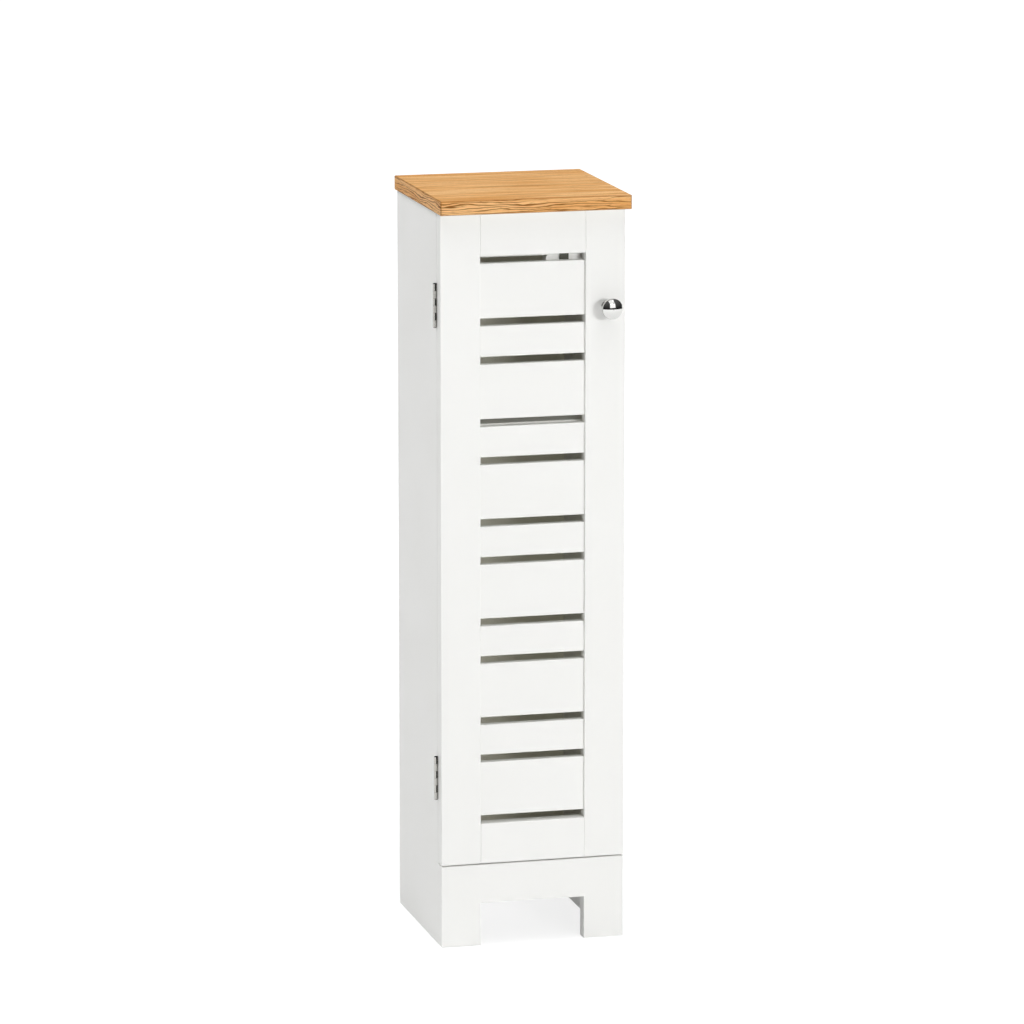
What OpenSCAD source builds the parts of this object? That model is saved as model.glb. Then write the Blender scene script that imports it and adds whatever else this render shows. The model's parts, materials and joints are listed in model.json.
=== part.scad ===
// Slim free-standing cabinet for spare toilet rolls: white panels, an oak-look top board and one
// louvred door on two butt hinges. The front faces -Y, +Z is up, and the floor is at Z = 0.

/* [Carcass] */
// Width over both side panels, which is also the width of the door and the plinth
cabinet_w = 194; // [160:1:280]
// Depth of a side panel, front edge to rear edge
carcass_d = 170; // [140:1:260]
// Height of the side panels, floor to top board
carcass_h = 765; // [640:5:900]
// Thickness of the side panels, floor panel, front rail and shelf
panel_t = 15; // [14:0.5:20]
// Thickness of the back panel
back_t = 3; // [2:0.5:5]
// How far the back panel lies inside the rear edges
back_inset = 1; // [0.5:0.5:4]
// Width of the rebate that the back panel lies in
rebate_w = 7; // [5:0.5:9]
// Height of the rail under the top board, behind the door
front_rail_h = 48; // [40:1:80]
// Easing radius of the painted edges
edge_r = 0.8; // [0.3:0.1:1.5]

/* [Top board] */
// Thickness of the top board
top_t = 15; // [12:0.5:25]
// Overhang of the top board past each side panel
top_over_side = 3; // [0:0.5:20]
// Overhang of the top board past the door face
top_over_front = 14; // [2:0.5:30]
// Rounding of the top board's edges
top_edge_r = 1.5; // [0.5:0.1:4]

/* [Plinth] */
// Height of the plinth, which is also the height of the cabinet's floor
plinth_h = 86; // [75:1:140]
// Thickness of the plinth
plinth_t = 15; // [14:0.5:20]
// Width of each foot beside the cut-out
foot_w = 41.7; // [25:0.1:60]
// Height of the cut-out between the feet
arch_h = 45; // [10:1:50]

/* [Door] */
// Thickness of the stiles and rails
door_t = 15; // [14:0.5:20]
// Gap between the closed door and the carcass
door_gap = 1; // [0.5:0.1:1.6]
// Gap between the door and the top board
top_gap = 1; // [0.5:0.5:4]
// Gap between the door and the plinth
bottom_gap = 1.5; // [0.5:0.5:4]
// Width of the stiles
stile_w = 41.7; // [30:0.1:50]
// Height of the door's top rail
top_rail_h = 43.5; // [30:0.5:60]
// Height of the door's bottom rail
bottom_rail_h = 42; // [30:0.5:80]
// Thickness of the tenons on the rails
tenon_t = 6; // [4:0.5:8]
// Length of the tenons on the rails
tenon_l = 12; // [6:0.5:20]
// Shoulder above and below each tenon
tenon_shoulder = 6; // [3:0.5:10]

/* [Slats] */
// Number of wide slats; a narrow one stands between each two of them
wide_slats = 6; // [2:1:8]
// Height of a narrow slat
narrow_slat_h = 31.5; // [15:0.5:40]
// Height of the open slots
slot_h = 8; // [5:0.5:12]
// Thickness of the slats
slat_t = 9; // [5:0.5:10]
// How far the slats lie behind the door face
slat_recess = 4; // [0.5:0.5:4.5]
// How deep the slats sit in the stiles
slat_seat = 8; // [3:0.5:15]
// Play round a slat or tenon in its mortise
mortise_play = 0.1; // [0.05:0.05:0.3]

/* [Shelf] */
// Height of the shelf's top face above the floor
shelf_top = 545; // [300:0.5:560]
// How far the shelf's front edge lies behind the carcass front
shelf_setback = 4; // [2:1:40]
// Side play between the shelf and each side panel
shelf_play = 1.5; // [1.4:0.1:3]
// Radius of the shelf pins
shelf_pin_r = 2.5; // [2:0.5:4]
// Length of a shelf pin in the panel, and again outside it
shelf_pin_l = 8; // [6:0.5:10]
// Distance from the carcass front, or the shelf's rear edge, to a row of shelf pins
shelf_pin_edge = 37; // [20:1:50]
// Spacing of the shelf pin holes up the panel
shelf_hole_pitch = 32; // [20:1:50]
// Number of shelf pin holes above the shelf, and again below it
shelf_holes_each_way = 2; // [0:1:3]

/* [Hinges] */
// Height of a hinge
hinge_h = 45; // [36:1:70]
// Middle of the upper hinge, down from the top of the door
upper_hinge_drop = 94; // [60:1:200]
// Middle of the lower hinge, up from the bottom of the door
lower_hinge_rise = 90; // [60:1:200]
// How far the hinge pin stands out from the side of the cabinet
hinge_out = 2; // [2:0.1:3.5]
// Thickness of the hinge leaves
leaf_t = 0.8; // [0.6:0.1:1.2]
// Reach of a leaf in from the side of the cabinet
leaf_reach = 11; // [8:0.5:13]
// Gap between the two closed leaves
leaf_play = 0.2; // [0.1:0.05:0.3]
// Number of knuckles on a hinge, shared by both leaves
knuckles = 6; // [4:1:8]
// End play between two knuckles
knuckle_play = 0.2; // [0.1:0.05:0.5]
// Radius of the hinge pin
pin_r = 1.15; // [0.5:0.05:1.2]
// Radial play between the pin and the knuckles
pin_play = 0.05; // [0.02:0.01:0.1]
// Space between a knuckle and the notch in the other leaf
notch_play = 0.3; // [0.3:0.05:0.6]

/* [Knob] */
// Radius of the knob's head
knob_r = 10.9; // [8:0.1:15]
// Distance from the door face to the widest part of the head
knob_out = 19.5; // [11:0.5:25]
// How far the dome of the head stands out past its widest part
knob_rise = 5.7; // [4:0.1:7]
// Radius of the knob's flange
flange_r = 6.5; // [6:0.5:14]
// Thickness of the knob's flange
flange_t = 1.8; // [1:0.1:3]
// Radius of the knob's neck
neck_r = 4; // [3.5:0.25:6]
// Knob axis in from the free edge of the door
knob_in = 19; // [14:0.5:25]
// Knob axis down from the top of the door
knob_drop = 99.5; // [60:0.5:300]

/* [Catch] */
// Middle of the magnetic catch, right of the cabinet's middle
catch_x = 36.5; // [10:0.5:45]
// Length of the catch housing
catch_w = 37.5; // [34:0.5:50]
// Depth of the catch housing
catch_d = 14; // [11:0.5:20]
// Height of the catch housing
catch_h = 10; // [9:0.5:14]
// Width of the magnet between its pole plates
magnet_w = 8; // [5:0.5:10]
// Thickness of a pole plate, and of the strike plate
plate_t = 0.8; // [0.5:0.1:0.8]
// Width of the strike plate
strike_w = 9.5; // [8:0.5:16]
// Height of the strike plate
strike_h = 38; // [32:0.5:50]

/* [Fasteners] */
// Radius of the wooden dowels
dowel_r = 4; // [2.5:0.5:4]
// Length of a dowel in the board that it stands square to
dowel_short = 9; // [6:0.5:10]
// Length of a dowel in the edge of the other board
dowel_long = 20; // [12:1:30]
// Distance of the dowels from the carcass front and rear edges
dowel_edge = 30; // [20:1:45]
// Radius of a cam lock
cam_r = 7.4; // [5:0.1:9]
// Depth of a cam lock
cam_t = 12; // [10:0.5:12.5]
// Distance from the joint to the middle of the cam lock
cam_reach = 24; // [18:1:34]
// Radius of the screw shanks
screw_r = 1.2; // [0.9:0.1:1.3]
// Radius of the countersunk screw heads
screw_head_r = 2.3; // [1.8:0.1:2.5]
// Length of a screw in the wood
screw_l = 10; // [7:0.5:11]
// Play round a fastener in its hole
hole_play = 0.05; // [0.03:0.01:0.2]

/* [Hidden] */
slat_names = [for (i = [1 : 2 * wide_slats - 1]) str("slat_", i)];
cut = 1;

// Depths. The origin lies midway between the front of the knob and the rear edges.
door_face_y = (knob_out + knob_rise - door_t - door_gap - carcass_d) / 2;
door_back_y = door_face_y + door_t;
carcass_y = door_back_y + door_gap;
rear_y = carcass_y + carcass_d;
back_face_y = rear_y - back_inset - back_t;
hinge_y = door_back_y + door_gap / 2;

// Widths
side_x = cabinet_w / 2;
inner_x = side_x - panel_t;
side_mid_x = side_x - panel_t / 2;
stile_in_x = side_x - stile_w;
knob_x = side_x - knob_in;
hinge_x = -side_x - hinge_out;

// Heights
floor_z = plinth_h - panel_t;
rail_z = carcass_h - front_rail_h;
door_z = plinth_h + bottom_gap;
door_top_z = carcass_h - top_gap;
louvre_z = door_z + bottom_rail_h;
louvre_top_z = door_top_z - top_rail_h;
shelf_z = shelf_top - panel_t;
upper_hinge_z = door_top_z - upper_hinge_drop;
lower_hinge_z = door_z + lower_hinge_rise;
knob_z = door_top_z - knob_drop;

// Louvre: the wide slats share what the slots and the narrow slats leave
slats = 2 * wide_slats - 1;
wide_slat_h = (louvre_top_z - louvre_z - (slats + 1) * slot_h
    - (wide_slats - 1) * narrow_slat_h) / wide_slats;
function slat_h(i) = i % 2 == 1 ? wide_slat_h : narrow_slat_h;
function slat_top_z(i) = i == 1 ? louvre_top_z - slot_h
    : slat_top_z(i - 1) - slat_h(i - 1) - slot_h;

// Hinge
barrel_r = pin_r + pin_play + leaf_t;
knuckle_h = hinge_h / knuckles;
notch_x = barrel_r + notch_play;
leaf_w = hinge_out + leaf_reach;
leaf_depth = (leaf_play + 2 * leaf_t - door_gap) / 2;
pin_head_h = 0.4;
pin_head_inset = 0.3;
pin_head_r = barrel_r - pin_head_inset;
hinge_screw_x = hinge_out + leaf_reach / 2;
hinge_screw_zs = [-hinge_h / 3, 0, hinge_h / 3];
barrel_play = 0.2;
mouth_from = 45;
mouth_to = 100;

// Catch: the poles meet the strike plate in the gap between the door and the carcass
catch_air = 0.1;
catch_z = rail_z - catch_h;
catch_mid_z = rail_z - catch_h / 2;
catch_setback = 1;
catch_wall = 1.5;
catch_web = 4;
pole_y = door_back_y + plate_t + catch_air;
pole_l = 9;
pole_h = catch_h - 2 * catch_wall;
magnet_setback = 0.6;
housing_y = carcass_y + catch_setback;
catch_screw_x = (magnet_w / 2 + plate_t + catch_w / 2) / 2;
catch_screw_head_r = 2.8;
catch_screw_head_h = 1.6;
catch_head_depth = catch_h - catch_web;
strike_below_catch = 1;
strike_z = catch_z - strike_below_catch;
strike_screw_rise = 6;
strike_screw_edge = 5;
strike_screw_zs = [louvre_top_z + strike_screw_rise, strike_z + strike_h - strike_screw_edge];

// Fasteners
head_play = 0.3;
screw_end_gap = 1;
rail_dowel_edge = 12;
foot_dowel_zs = [17, 52];
foot_cam_z = 34;
cam_slot_depth = 1;
cam_slot_w = 1.2;
cam_slot_l = 7;
bolt_r = 3.2;
bolt_thread_l = 9;
bolt_shank_r = 2;
bolt_head_r = 2.8;
bolt_head_l = 4;
bolt_hole_r = 3.4;
nail_r = 0.6;
nail_head_r = 1.8;
nail_head_h = 0.6;
nail_l = 10;
nail_edge = 25;
nail_rows = 5;
knob_rim_r = 2.8;
knob_bolt_r = 2;
knob_bolt_grip = 8;
knob_head_r = 3.8;
knob_head_h = 2.2;
knob_head_sink = 3.5;
shelf_collar_lip = 1.5;
shelf_collar_r = shelf_pin_r + shelf_collar_lip;
shelf_collar_t = 1.2;

white = "#f4f4f2";
oak = "#dfae74";
chrome = "#c9ccd0";
steel = "#8d9094";

// ---------- shared shapes ----------

// A w by h outline with rounded corners
module eased_outline(w, h, r) {
    translate([r, 0]) square([w - 2 * r, h]);
    translate([0, r]) square([w, h - 2 * r]);
    for (x = [r, w - r], y = [r, h - r])
        translate([x, y]) circle(r = r, $fn = 24);
}

// A board with all of its edges rounded: what three crossing eased bars have in common
module eased_board(from, to, r = edge_r) {
    size = to - from;
    translate(from) intersection() {
        linear_extrude(size.z) eased_outline(size.x, size.y, r);
        translate([0, size.y, 0]) rotate([90, 0, 0])
            linear_extrude(size.y) eased_outline(size.x, size.z, r);
        rotate([90, 0, 90]) linear_extrude(size.x) eased_outline(size.y, size.z, r);
    }
}

// A block between two corners
module block(from, to) {
    translate(from) cube(to - from);
}

// A countersunk screw along +Z, its head flush with Z = 0, or with play the hole for it
module countersunk_screw(head_h, l, play = 0) {
    widening = play * (screw_head_r - screw_r) / head_h;
    cylinder(r = screw_r + play, h = head_h + l, $fn = 32);
    translate([0, 0, -play]) cylinder(r1 = screw_head_r + play + widening, r2 = screw_r + play,
        h = head_h + play, $fn = 32);
}

// The pilot hole of a screw along +Z, from a little outside the face
module pilot_hole() {
    translate([0, 0, -cut]) cylinder(r = screw_r + hole_play, h = cut + screw_l, $fn = 32);
}

// ---------- joints of the carcass ----------

// Each place is the middle of a joint and the turn that takes +Z into the board's edge
dowel_places = concat(
    [for (s = [-1, 1], y = [carcass_y + dowel_edge, rear_y - dowel_edge])
        [[s * side_mid_x, y, carcass_h], [180, 0, 0]]],
    [for (s = [-1, 1], y = [carcass_y + dowel_edge, rear_y - dowel_edge])
        [[s * inner_x, y, floor_z + panel_t / 2], [0, -s * 90, 0]]],
    [for (s = [-1, 1], z = [rail_z + rail_dowel_edge, carcass_h - rail_dowel_edge])
        [[s * inner_x, carcass_y + panel_t / 2, z], [0, -s * 90, 0]]],
    [for (s = [-1, 1], z = foot_dowel_zs)
        [[s * side_mid_x, carcass_y, z], [-90, 0, 0]]]);

// In each place the cam lock's face looks along the turned +X
mid_y = (carcass_y + rear_y) / 2;
cam_places = [for (s = [-1, 1]) each [
    [[s * side_mid_x, mid_y, carcass_h], s < 0 ? [180, 0, 0] : [0, 180, 0]],
    [[s * inner_x, mid_y, floor_z + panel_t / 2], s < 0 ? [0, 90, 0] : [0, 90, 180]],
    [[s * side_mid_x, carcass_y, foot_cam_z], s < 0 ? [-90, 0, 0] : [-90, 180, 0]]]];

module at_places(places) {
    for (p = places) translate(p[0]) rotate(p[1]) children();
}

module dowel(play = 0) {
    translate([0, 0, -dowel_short - play])
        cylinder(r = dowel_r + play, h = dowel_short + dowel_long + 2 * play, $fn = 32);
}

module cam_bolt() {
    translate([0, 0, -bolt_thread_l]) cylinder(r = bolt_r, h = bolt_thread_l, $fn = 32);
    cylinder(r = bolt_shank_r, h = cam_reach, $fn = 32);
    translate([0, 0, cam_reach - bolt_head_l / 2])
        cylinder(r = bolt_head_r, h = bolt_head_l, $fn = 32);
}

module cam_body(play = 0) {
    translate([panel_t / 2 - cam_t - play, 0, cam_reach]) rotate([0, 90, 0])
        cylinder(r = cam_r + play, h = cam_t + play + (play > 0 ? cut : 0), $fn = 48);
}

// Bores for the dowels, cam bolts and cam locks
module joint_bores() {
    at_places(dowel_places) dowel(hole_play);
    at_places(cam_places) {
        translate([0, 0, -bolt_thread_l - hole_play])
            cylinder(r = bolt_r + hole_play, h = bolt_thread_l + 2 * hole_play, $fn = 32);
        cylinder(r = bolt_hole_r, h = cam_reach, $fn = 32);
        cam_body(hole_play);
    }
}

// ---------- carcass ----------

module top_board() color(oak) difference() {
    eased_board([-side_x - top_over_side, door_face_y - top_over_front, carcass_h],
        [side_x + top_over_side, rear_y, carcass_h + top_t], top_edge_r);
    joint_bores();
}

// A side panel; s is -1 on the left and 1 on the right
module side_panel(s) color(white) difference() {
    eased_board([s < 0 ? -side_x : inner_x, carcass_y, 0],
        [s < 0 ? -inner_x : side_x, rear_y, carcass_h]);
    // rebate for the back panel
    block([s < 0 ? -inner_x - rebate_w : inner_x - cut, back_face_y, floor_z],
        [s < 0 ? -inner_x + cut : inner_x + rebate_w, rear_y + cut, carcass_h + cut]);
    joint_bores();
    shelf_pin_bores();
    nail_bores();
    if (s < 0) hinge_seats(1);
}

module left_side_panel() side_panel(-1);
module right_side_panel() side_panel(1);

module back_panel() color(white) difference() {
    back_play = 0.25;
    block([-inner_x - rebate_w + back_play, back_face_y, floor_z + back_play],
        [inner_x + rebate_w - back_play, back_face_y + back_t, carcass_h - back_play]);
    nail_bores();
}

module floor_panel() color(white) difference() {
    eased_board([-inner_x, carcass_y, floor_z], [inner_x, back_face_y, plinth_h]);
    joint_bores();
    nail_bores();
}

module front_rail() color(white) difference() {
    eased_board([-inner_x, carcass_y, rail_z], [inner_x, carcass_y + panel_t, carcass_h]);
    joint_bores();
    catch_screw_places() pilot_hole();
}

module plinth() color(white) difference() {
    eased_board([-side_x, carcass_y - plinth_t, 0], [side_x, carcass_y, plinth_h]);
    block([-side_x + foot_w, carcass_y - plinth_t - cut, -cut],
        [side_x - foot_w, carcass_y + cut, arch_h]);
    joint_bores();
}

module carcass_dowels() color("#d8bd8c") at_places(dowel_places) dowel();
module cam_bolts() color(steel) at_places(cam_places) cam_bolt();

module cam_locks() color(steel) at_places(cam_places) difference() {
    cam_body();
    // passage for the bolt, and the driver slot in the face
    cylinder(r = bolt_hole_r, h = cam_reach + bolt_head_l, $fn = 32);
    for (a = [0, 90]) translate([panel_t / 2, 0, cam_reach]) rotate([a, 0, 0])
        cube([2 * cam_slot_depth, cam_slot_w, cam_slot_l], center = true);
}

// Nails through the back panel into the side panels and the floor panel
nail_x = inner_x + rebate_w / 2;
nail_places = concat(
    [for (s = [-1, 1], i = [0 : nail_rows - 1])
        [s * nail_x, plinth_h + nail_edge
            + i * (carcass_h - plinth_h - 2 * nail_edge) / (nail_rows - 1)]],
    [for (s = [-1, 0, 1]) [s * inner_x / 2, floor_z + panel_t / 2]]);

module at_nails() {
    for (p = nail_places)
        translate([p.x, back_face_y + back_t, p.y]) rotate([90, 0, 0]) children();
}

module nail_bores() {
    at_nails() translate([0, 0, -cut])
        cylinder(r = nail_r + hole_play, h = cut + back_t + nail_l + hole_play, $fn = 24);
}

module back_nails() color(steel) at_nails() {
    cylinder(r = nail_r, h = back_t + nail_l, $fn = 24);
    translate([0, 0, -nail_head_h]) cylinder(r = nail_head_r, h = nail_head_h, $fn = 24);
}

// ---------- shelf ----------

shelf_y = carcass_y + shelf_setback;
shelf_back_gap = 0.5;
shelf_seat_gap = 0.1;
shelf_hole_spare = 1;
shelf_pin_z = shelf_z - shelf_pin_r - shelf_seat_gap;
shelf_pin_ys = [carcass_y + shelf_pin_edge, back_face_y - shelf_pin_edge];

module shelf() color(white)
    eased_board([-inner_x + shelf_play, shelf_y, shelf_z],
        [inner_x - shelf_play, back_face_y - shelf_back_gap, shelf_top]);

module shelf_pins() color(steel)
    for (s = [-1, 1], y = shelf_pin_ys)
        translate([s * inner_x, y, shelf_pin_z]) rotate([0, -s * 90, 0]) {
            translate([0, 0, -shelf_pin_l])
                cylinder(r = shelf_pin_r, h = 2 * shelf_pin_l, $fn = 32);
            cylinder(r = shelf_collar_r, h = shelf_collar_t, $fn = 32);
        }

module shelf_pin_bores() {
    for (s = [-1, 1], y = shelf_pin_ys, i = [-shelf_holes_each_way : shelf_holes_each_way])
        translate([s * inner_x, y, shelf_pin_z + i * shelf_hole_pitch]) rotate([0, s * 90, 0])
            translate([0, 0, -cut])
                cylinder(r = shelf_pin_r + hole_play, h = cut + shelf_pin_l + shelf_hole_spare, $fn = 32);
}

// ---------- door ----------

slat_face_y = door_face_y + slat_recess;
tenon_y = door_face_y + (door_t - tenon_t) / 2;
tenon_end_x = stile_in_x + tenon_l;
slat_end_x = stile_in_x + slat_seat;

// A stile with a mortise for every slat and for both rails; s is -1 on the left
module stile(s) color(white) difference() {
    eased_board([s < 0 ? -side_x : stile_in_x, door_face_y, door_z],
        [s < 0 ? -stile_in_x : side_x, door_back_y, door_top_z]);
    for (i = [1 : slats]) mortise(s, slat_end_x, slat_face_y, slat_t,
        slat_top_z(i) - slat_h(i), slat_top_z(i));
    mortise(s, tenon_end_x, tenon_y, tenon_t, louvre_top_z + tenon_shoulder,
        door_top_z - tenon_shoulder);
    mortise(s, tenon_end_x, tenon_y, tenon_t, door_z + tenon_shoulder,
        louvre_z - tenon_shoulder);
    if (s < 0) hinge_seats(-1);
    if (s > 0) knob_bore();
}

module mortise(s, end_x, y, t, z_low, z_high) {
    x_near = stile_in_x - cut;
    x_far = end_x + mortise_play;
    block([s < 0 ? -x_far : x_near, y - mortise_play, z_low - mortise_play],
        [s < 0 ? -x_near : x_far, y + t + mortise_play, z_high + mortise_play]);
}

module door_left_stile() stile(-1);
module door_right_stile() stile(1);

// A rail between the stiles, with a tenon at each end
module door_rail(z_low, z_high) {
    eased_board([-stile_in_x, door_face_y, z_low], [stile_in_x, door_back_y, z_high]);
    block([-tenon_end_x, tenon_y, z_low + tenon_shoulder],
        [tenon_end_x, tenon_y + tenon_t, z_high - tenon_shoulder]);
}

module door_top_rail() color(white) difference() {
    door_rail(louvre_top_z, door_top_z);
    strike_screw_places() pilot_hole();
}

module door_bottom_rail() color(white) door_rail(door_z, louvre_z);

module slat(i) color(white)
    eased_board([-slat_end_x, slat_face_y, slat_top_z(i) - slat_h(i)],
        [slat_end_x, slat_face_y + slat_t, slat_top_z(i)]);

// ---------- hinges ----------

// One leaf about its pin; s is -1 for the door's leaf and 1 for the panel's
module hinge_leaf(s) {
    y_near = s * leaf_play / 2;
    y_far = s * (leaf_play / 2 + leaf_t);
    y_low = min(y_near, y_far);
    first = s > 0 ? 0 : 1;
    difference() {
        union() {
            translate([notch_x, y_low, -hinge_h / 2])
                cube([leaf_w - notch_x, leaf_t, hinge_h]);
            for (k = [first : 2 : knuckles - 1])
                translate([0, 0, hinge_h / 2 - (k + 1) * knuckle_h + knuckle_play / 2]) {
                    cylinder(r = barrel_r, h = knuckle_h - knuckle_play, $fn = 48);
                    translate([0, y_low, 0])
                        cube([notch_x + cut, leaf_t, knuckle_h - knuckle_play]);
                }
        }
        translate([0, 0, -hinge_h / 2 - cut])
            cylinder(r = pin_r + pin_play, h = hinge_h + 2 * cut, $fn = 48);
        leaf_screw_places(s) countersunk_screw(leaf_t, cut, hole_play);
        knuckle_mouth(s);
    }
}

// The strip isn't rolled shut: each knuckle is open on the side of the other leaf
module knuckle_mouth(s) {
    reach = 2 * barrel_r;
    translate([0, 0, -hinge_h / 2 - cut]) linear_extrude(hinge_h + 2 * cut) polygon([
        [0, 0],
        reach * [cos(mouth_from), -s * sin(mouth_from)],
        reach * [cos(mouth_to), -s * sin(mouth_to)]]);
}

// The screws of a leaf, heads flush with the face that meets the other leaf
module leaf_screw_places(s) {
    for (z = hinge_screw_zs)
        translate([hinge_screw_x, s * leaf_play / 2, z]) rotate([-s * 90, 0, 0]) children();
}

module at_hinge(z) {
    translate([hinge_x, hinge_y, z]) children();
}

// The shallow seats that a leaf lies in, with room for the barrel and the screw holes
module hinge_seats(s) {
    y_face = s * door_gap / 2;
    y_deep = s * (door_gap / 2 + leaf_depth);
    for (z = [upper_hinge_z, lower_hinge_z]) at_hinge(z) {
        block([0, min(y_deep, y_face - s * cut), -hinge_h / 2 - mortise_play],
            [leaf_w + mortise_play, max(y_deep, y_face - s * cut), hinge_h / 2 + mortise_play]);
        translate([0, 0, -hinge_h / 2 - mortise_play])
            cylinder(r = barrel_r + barrel_play, h = hinge_h + 2 * mortise_play, $fn = 48);
        leaf_screw_places(s) pilot_hole();
    }
}

module hinge_pin() {
    translate([0, 0, -hinge_h / 2]) cylinder(r = pin_r, h = hinge_h, $fn = 48);
    for (z = [hinge_h / 2, -hinge_h / 2 - pin_head_h])
        translate([0, 0, z]) cylinder(r = pin_head_r, h = pin_head_h, $fn = 48);
}

module upper_hinge_door_leaf() color(chrome) at_hinge(upper_hinge_z) hinge_leaf(-1);
module upper_hinge_panel_leaf() color(chrome) at_hinge(upper_hinge_z) hinge_leaf(1);
module upper_hinge_pin() color(chrome) at_hinge(upper_hinge_z) hinge_pin();
module lower_hinge_door_leaf() color(chrome) at_hinge(lower_hinge_z) hinge_leaf(-1);
module lower_hinge_panel_leaf() color(chrome) at_hinge(lower_hinge_z) hinge_leaf(1);
module lower_hinge_pin() color(chrome) at_hinge(lower_hinge_z) hinge_pin();

module hinge_screws(s) color(chrome)
    for (z = [upper_hinge_z, lower_hinge_z])
        at_hinge(z) leaf_screw_places(s) countersunk_screw(leaf_t, screw_l - leaf_t);

module hinge_door_screws() hinge_screws(-1);
module hinge_panel_screws() hinge_screws(1);

// ---------- knob ----------

// Knob axis along +Z, standing on the door face
module at_knob() {
    translate([knob_x, door_face_y, knob_z]) rotate([90, 0, 0]) children();
}

// Half of the knob's outline: flange, neck, and a domed head that meets its rim with no crease
module knob_profile() {
    rim_x = knob_r - knob_rim_r;
    dome_r = (rim_x * rim_x + knob_rise * knob_rise - knob_rim_r * knob_rim_r)
        / (2 * (knob_rise - knob_rim_r));
    meet_x = dome_r * rim_x / (dome_r - knob_rim_r);
    intersection() {
        translate([0, knob_out + knob_rise - dome_r]) circle(r = dome_r, $fn = 96);
        translate([0, knob_out]) square([meet_x, knob_rise + cut]);
    }
    translate([rim_x, knob_out]) circle(r = knob_rim_r, $fn = 48);
    translate([0, knob_out - knob_rim_r]) square([rim_x, knob_rim_r]);
    square([neck_r, knob_out]);
    // flange with a rounded rim
    square([flange_r - flange_t / 2, flange_t]);
    translate([flange_r - flange_t / 2, flange_t / 2]) circle(r = flange_t / 2, $fn = 32);
}

module knob() color(chrome) at_knob() difference() {
    rotate_extrude($fn = 96) knob_profile();
    translate([0, 0, -cut])
        cylinder(r = knob_bolt_r + hole_play, h = cut + knob_bolt_grip + hole_play, $fn = 32);
}

module knob_screw() color(steel) at_knob() {
    translate([0, 0, -door_t + knob_head_sink])
        cylinder(r = knob_bolt_r, h = door_t - knob_head_sink + knob_bolt_grip, $fn = 32);
    translate([0, 0, -door_t + knob_head_sink - knob_head_h])
        cylinder(r = knob_head_r, h = knob_head_h, $fn = 32);
}

module knob_bore() {
    at_knob()
        translate([0, 0, -door_t - cut]) {
            cylinder(r = knob_bolt_r + hole_play, h = door_t + 2 * cut, $fn = 32);
            cylinder(r = knob_head_r + head_play, h = knob_head_sink + cut, $fn = 32);
        }
}

// ---------- magnetic catch ----------

module at_catch() {
    translate([catch_x, 0, 0]) children();
}

// Screws stand up through the ears of the housing into the underside of the front rail
module catch_screw_places() {
    at_catch() for (s = [-1, 1])
        translate([s * catch_screw_x, housing_y + catch_d / 2, rail_z]) children();
}

module strike_screw_places() {
    at_catch() for (z = strike_screw_zs)
        translate([0, door_back_y, z]) rotate([90, 0, 0]) children();
}

// Housing with rounded ends, a window for the magnet and a sunk screw hole in each ear
module catch_housing() color(white) difference() {
    corner_r = 3;
    at_catch() translate([-catch_w / 2, housing_y + catch_d, catch_z]) rotate([90, 0, 0])
        linear_extrude(catch_d) eased_outline(catch_w, catch_h, corner_r);
    at_catch() block(
        [-magnet_w / 2 - plate_t - hole_play, housing_y - cut, catch_mid_z - pole_h / 2 - hole_play],
        [magnet_w / 2 + plate_t + hole_play, pole_y + pole_l + hole_play,
            catch_mid_z + pole_h / 2 + hole_play]);
    catch_screw_places() {
        translate([0, 0, -catch_h - cut]) {
            cylinder(r = screw_r + head_play, h = catch_h + 2 * cut, $fn = 32);
            cylinder(r = catch_screw_head_r + head_play, h = catch_head_depth + cut, $fn = 32);
        }
    }
}

module catch_magnet() color("#3a3a3c") at_catch()
    block([-magnet_w / 2, pole_y + magnet_setback, catch_mid_z - pole_h / 2],
        [magnet_w / 2, pole_y + pole_l, catch_mid_z + pole_h / 2]);

module catch_pole_plates() color(steel) at_catch()
    for (x = [-magnet_w / 2 - plate_t, magnet_w / 2])
        block([x, pole_y, catch_mid_z - pole_h / 2],
            [x + plate_t, pole_y + pole_l, catch_mid_z + pole_h / 2]);

module catch_screws() color(steel) catch_screw_places() {
    head_z = -catch_h + catch_head_depth;
    translate([0, 0, head_z])
        cylinder(r = screw_r, h = screw_l - screw_end_gap - head_z, $fn = 32);
    translate([0, 0, head_z - catch_screw_head_h])
        cylinder(r = catch_screw_head_r, h = catch_screw_head_h, $fn = 32);
}

// Plate on the door's top rail that hangs down behind the first slot to meet the poles
module strike_plate() color(steel) difference() {
    corner_r = 1.5;
    translate([catch_x - strike_w / 2, door_back_y + plate_t, strike_z]) rotate([90, 0, 0])
        linear_extrude(plate_t) eased_outline(strike_w, strike_h, corner_r);
    strike_screw_places() translate([0, 0, -plate_t])
        countersunk_screw(plate_t, cut, hole_play);
}

module strike_screws() color(steel)
    strike_screw_places() translate([0, 0, -plate_t])
        countersunk_screw(plate_t, screw_l - plate_t);

top_board();
left_side_panel();
right_side_panel();
back_panel();
floor_panel();
front_rail();
plinth();
shelf();
shelf_pins();
carcass_dowels();
cam_bolts();
cam_locks();
back_nails();
door_left_stile();
door_right_stile();
door_top_rail();
door_bottom_rail();
for (i = [1 : slats])
    slat(i);
upper_hinge_door_leaf();
upper_hinge_panel_leaf();
upper_hinge_pin();
lower_hinge_door_leaf();
lower_hinge_panel_leaf();
lower_hinge_pin();
hinge_door_screws();
hinge_panel_screws();
knob();
knob_screw();
catch_housing();
catch_magnet();
catch_pole_plates();
catch_screws();
strike_plate();
strike_screws();
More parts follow.
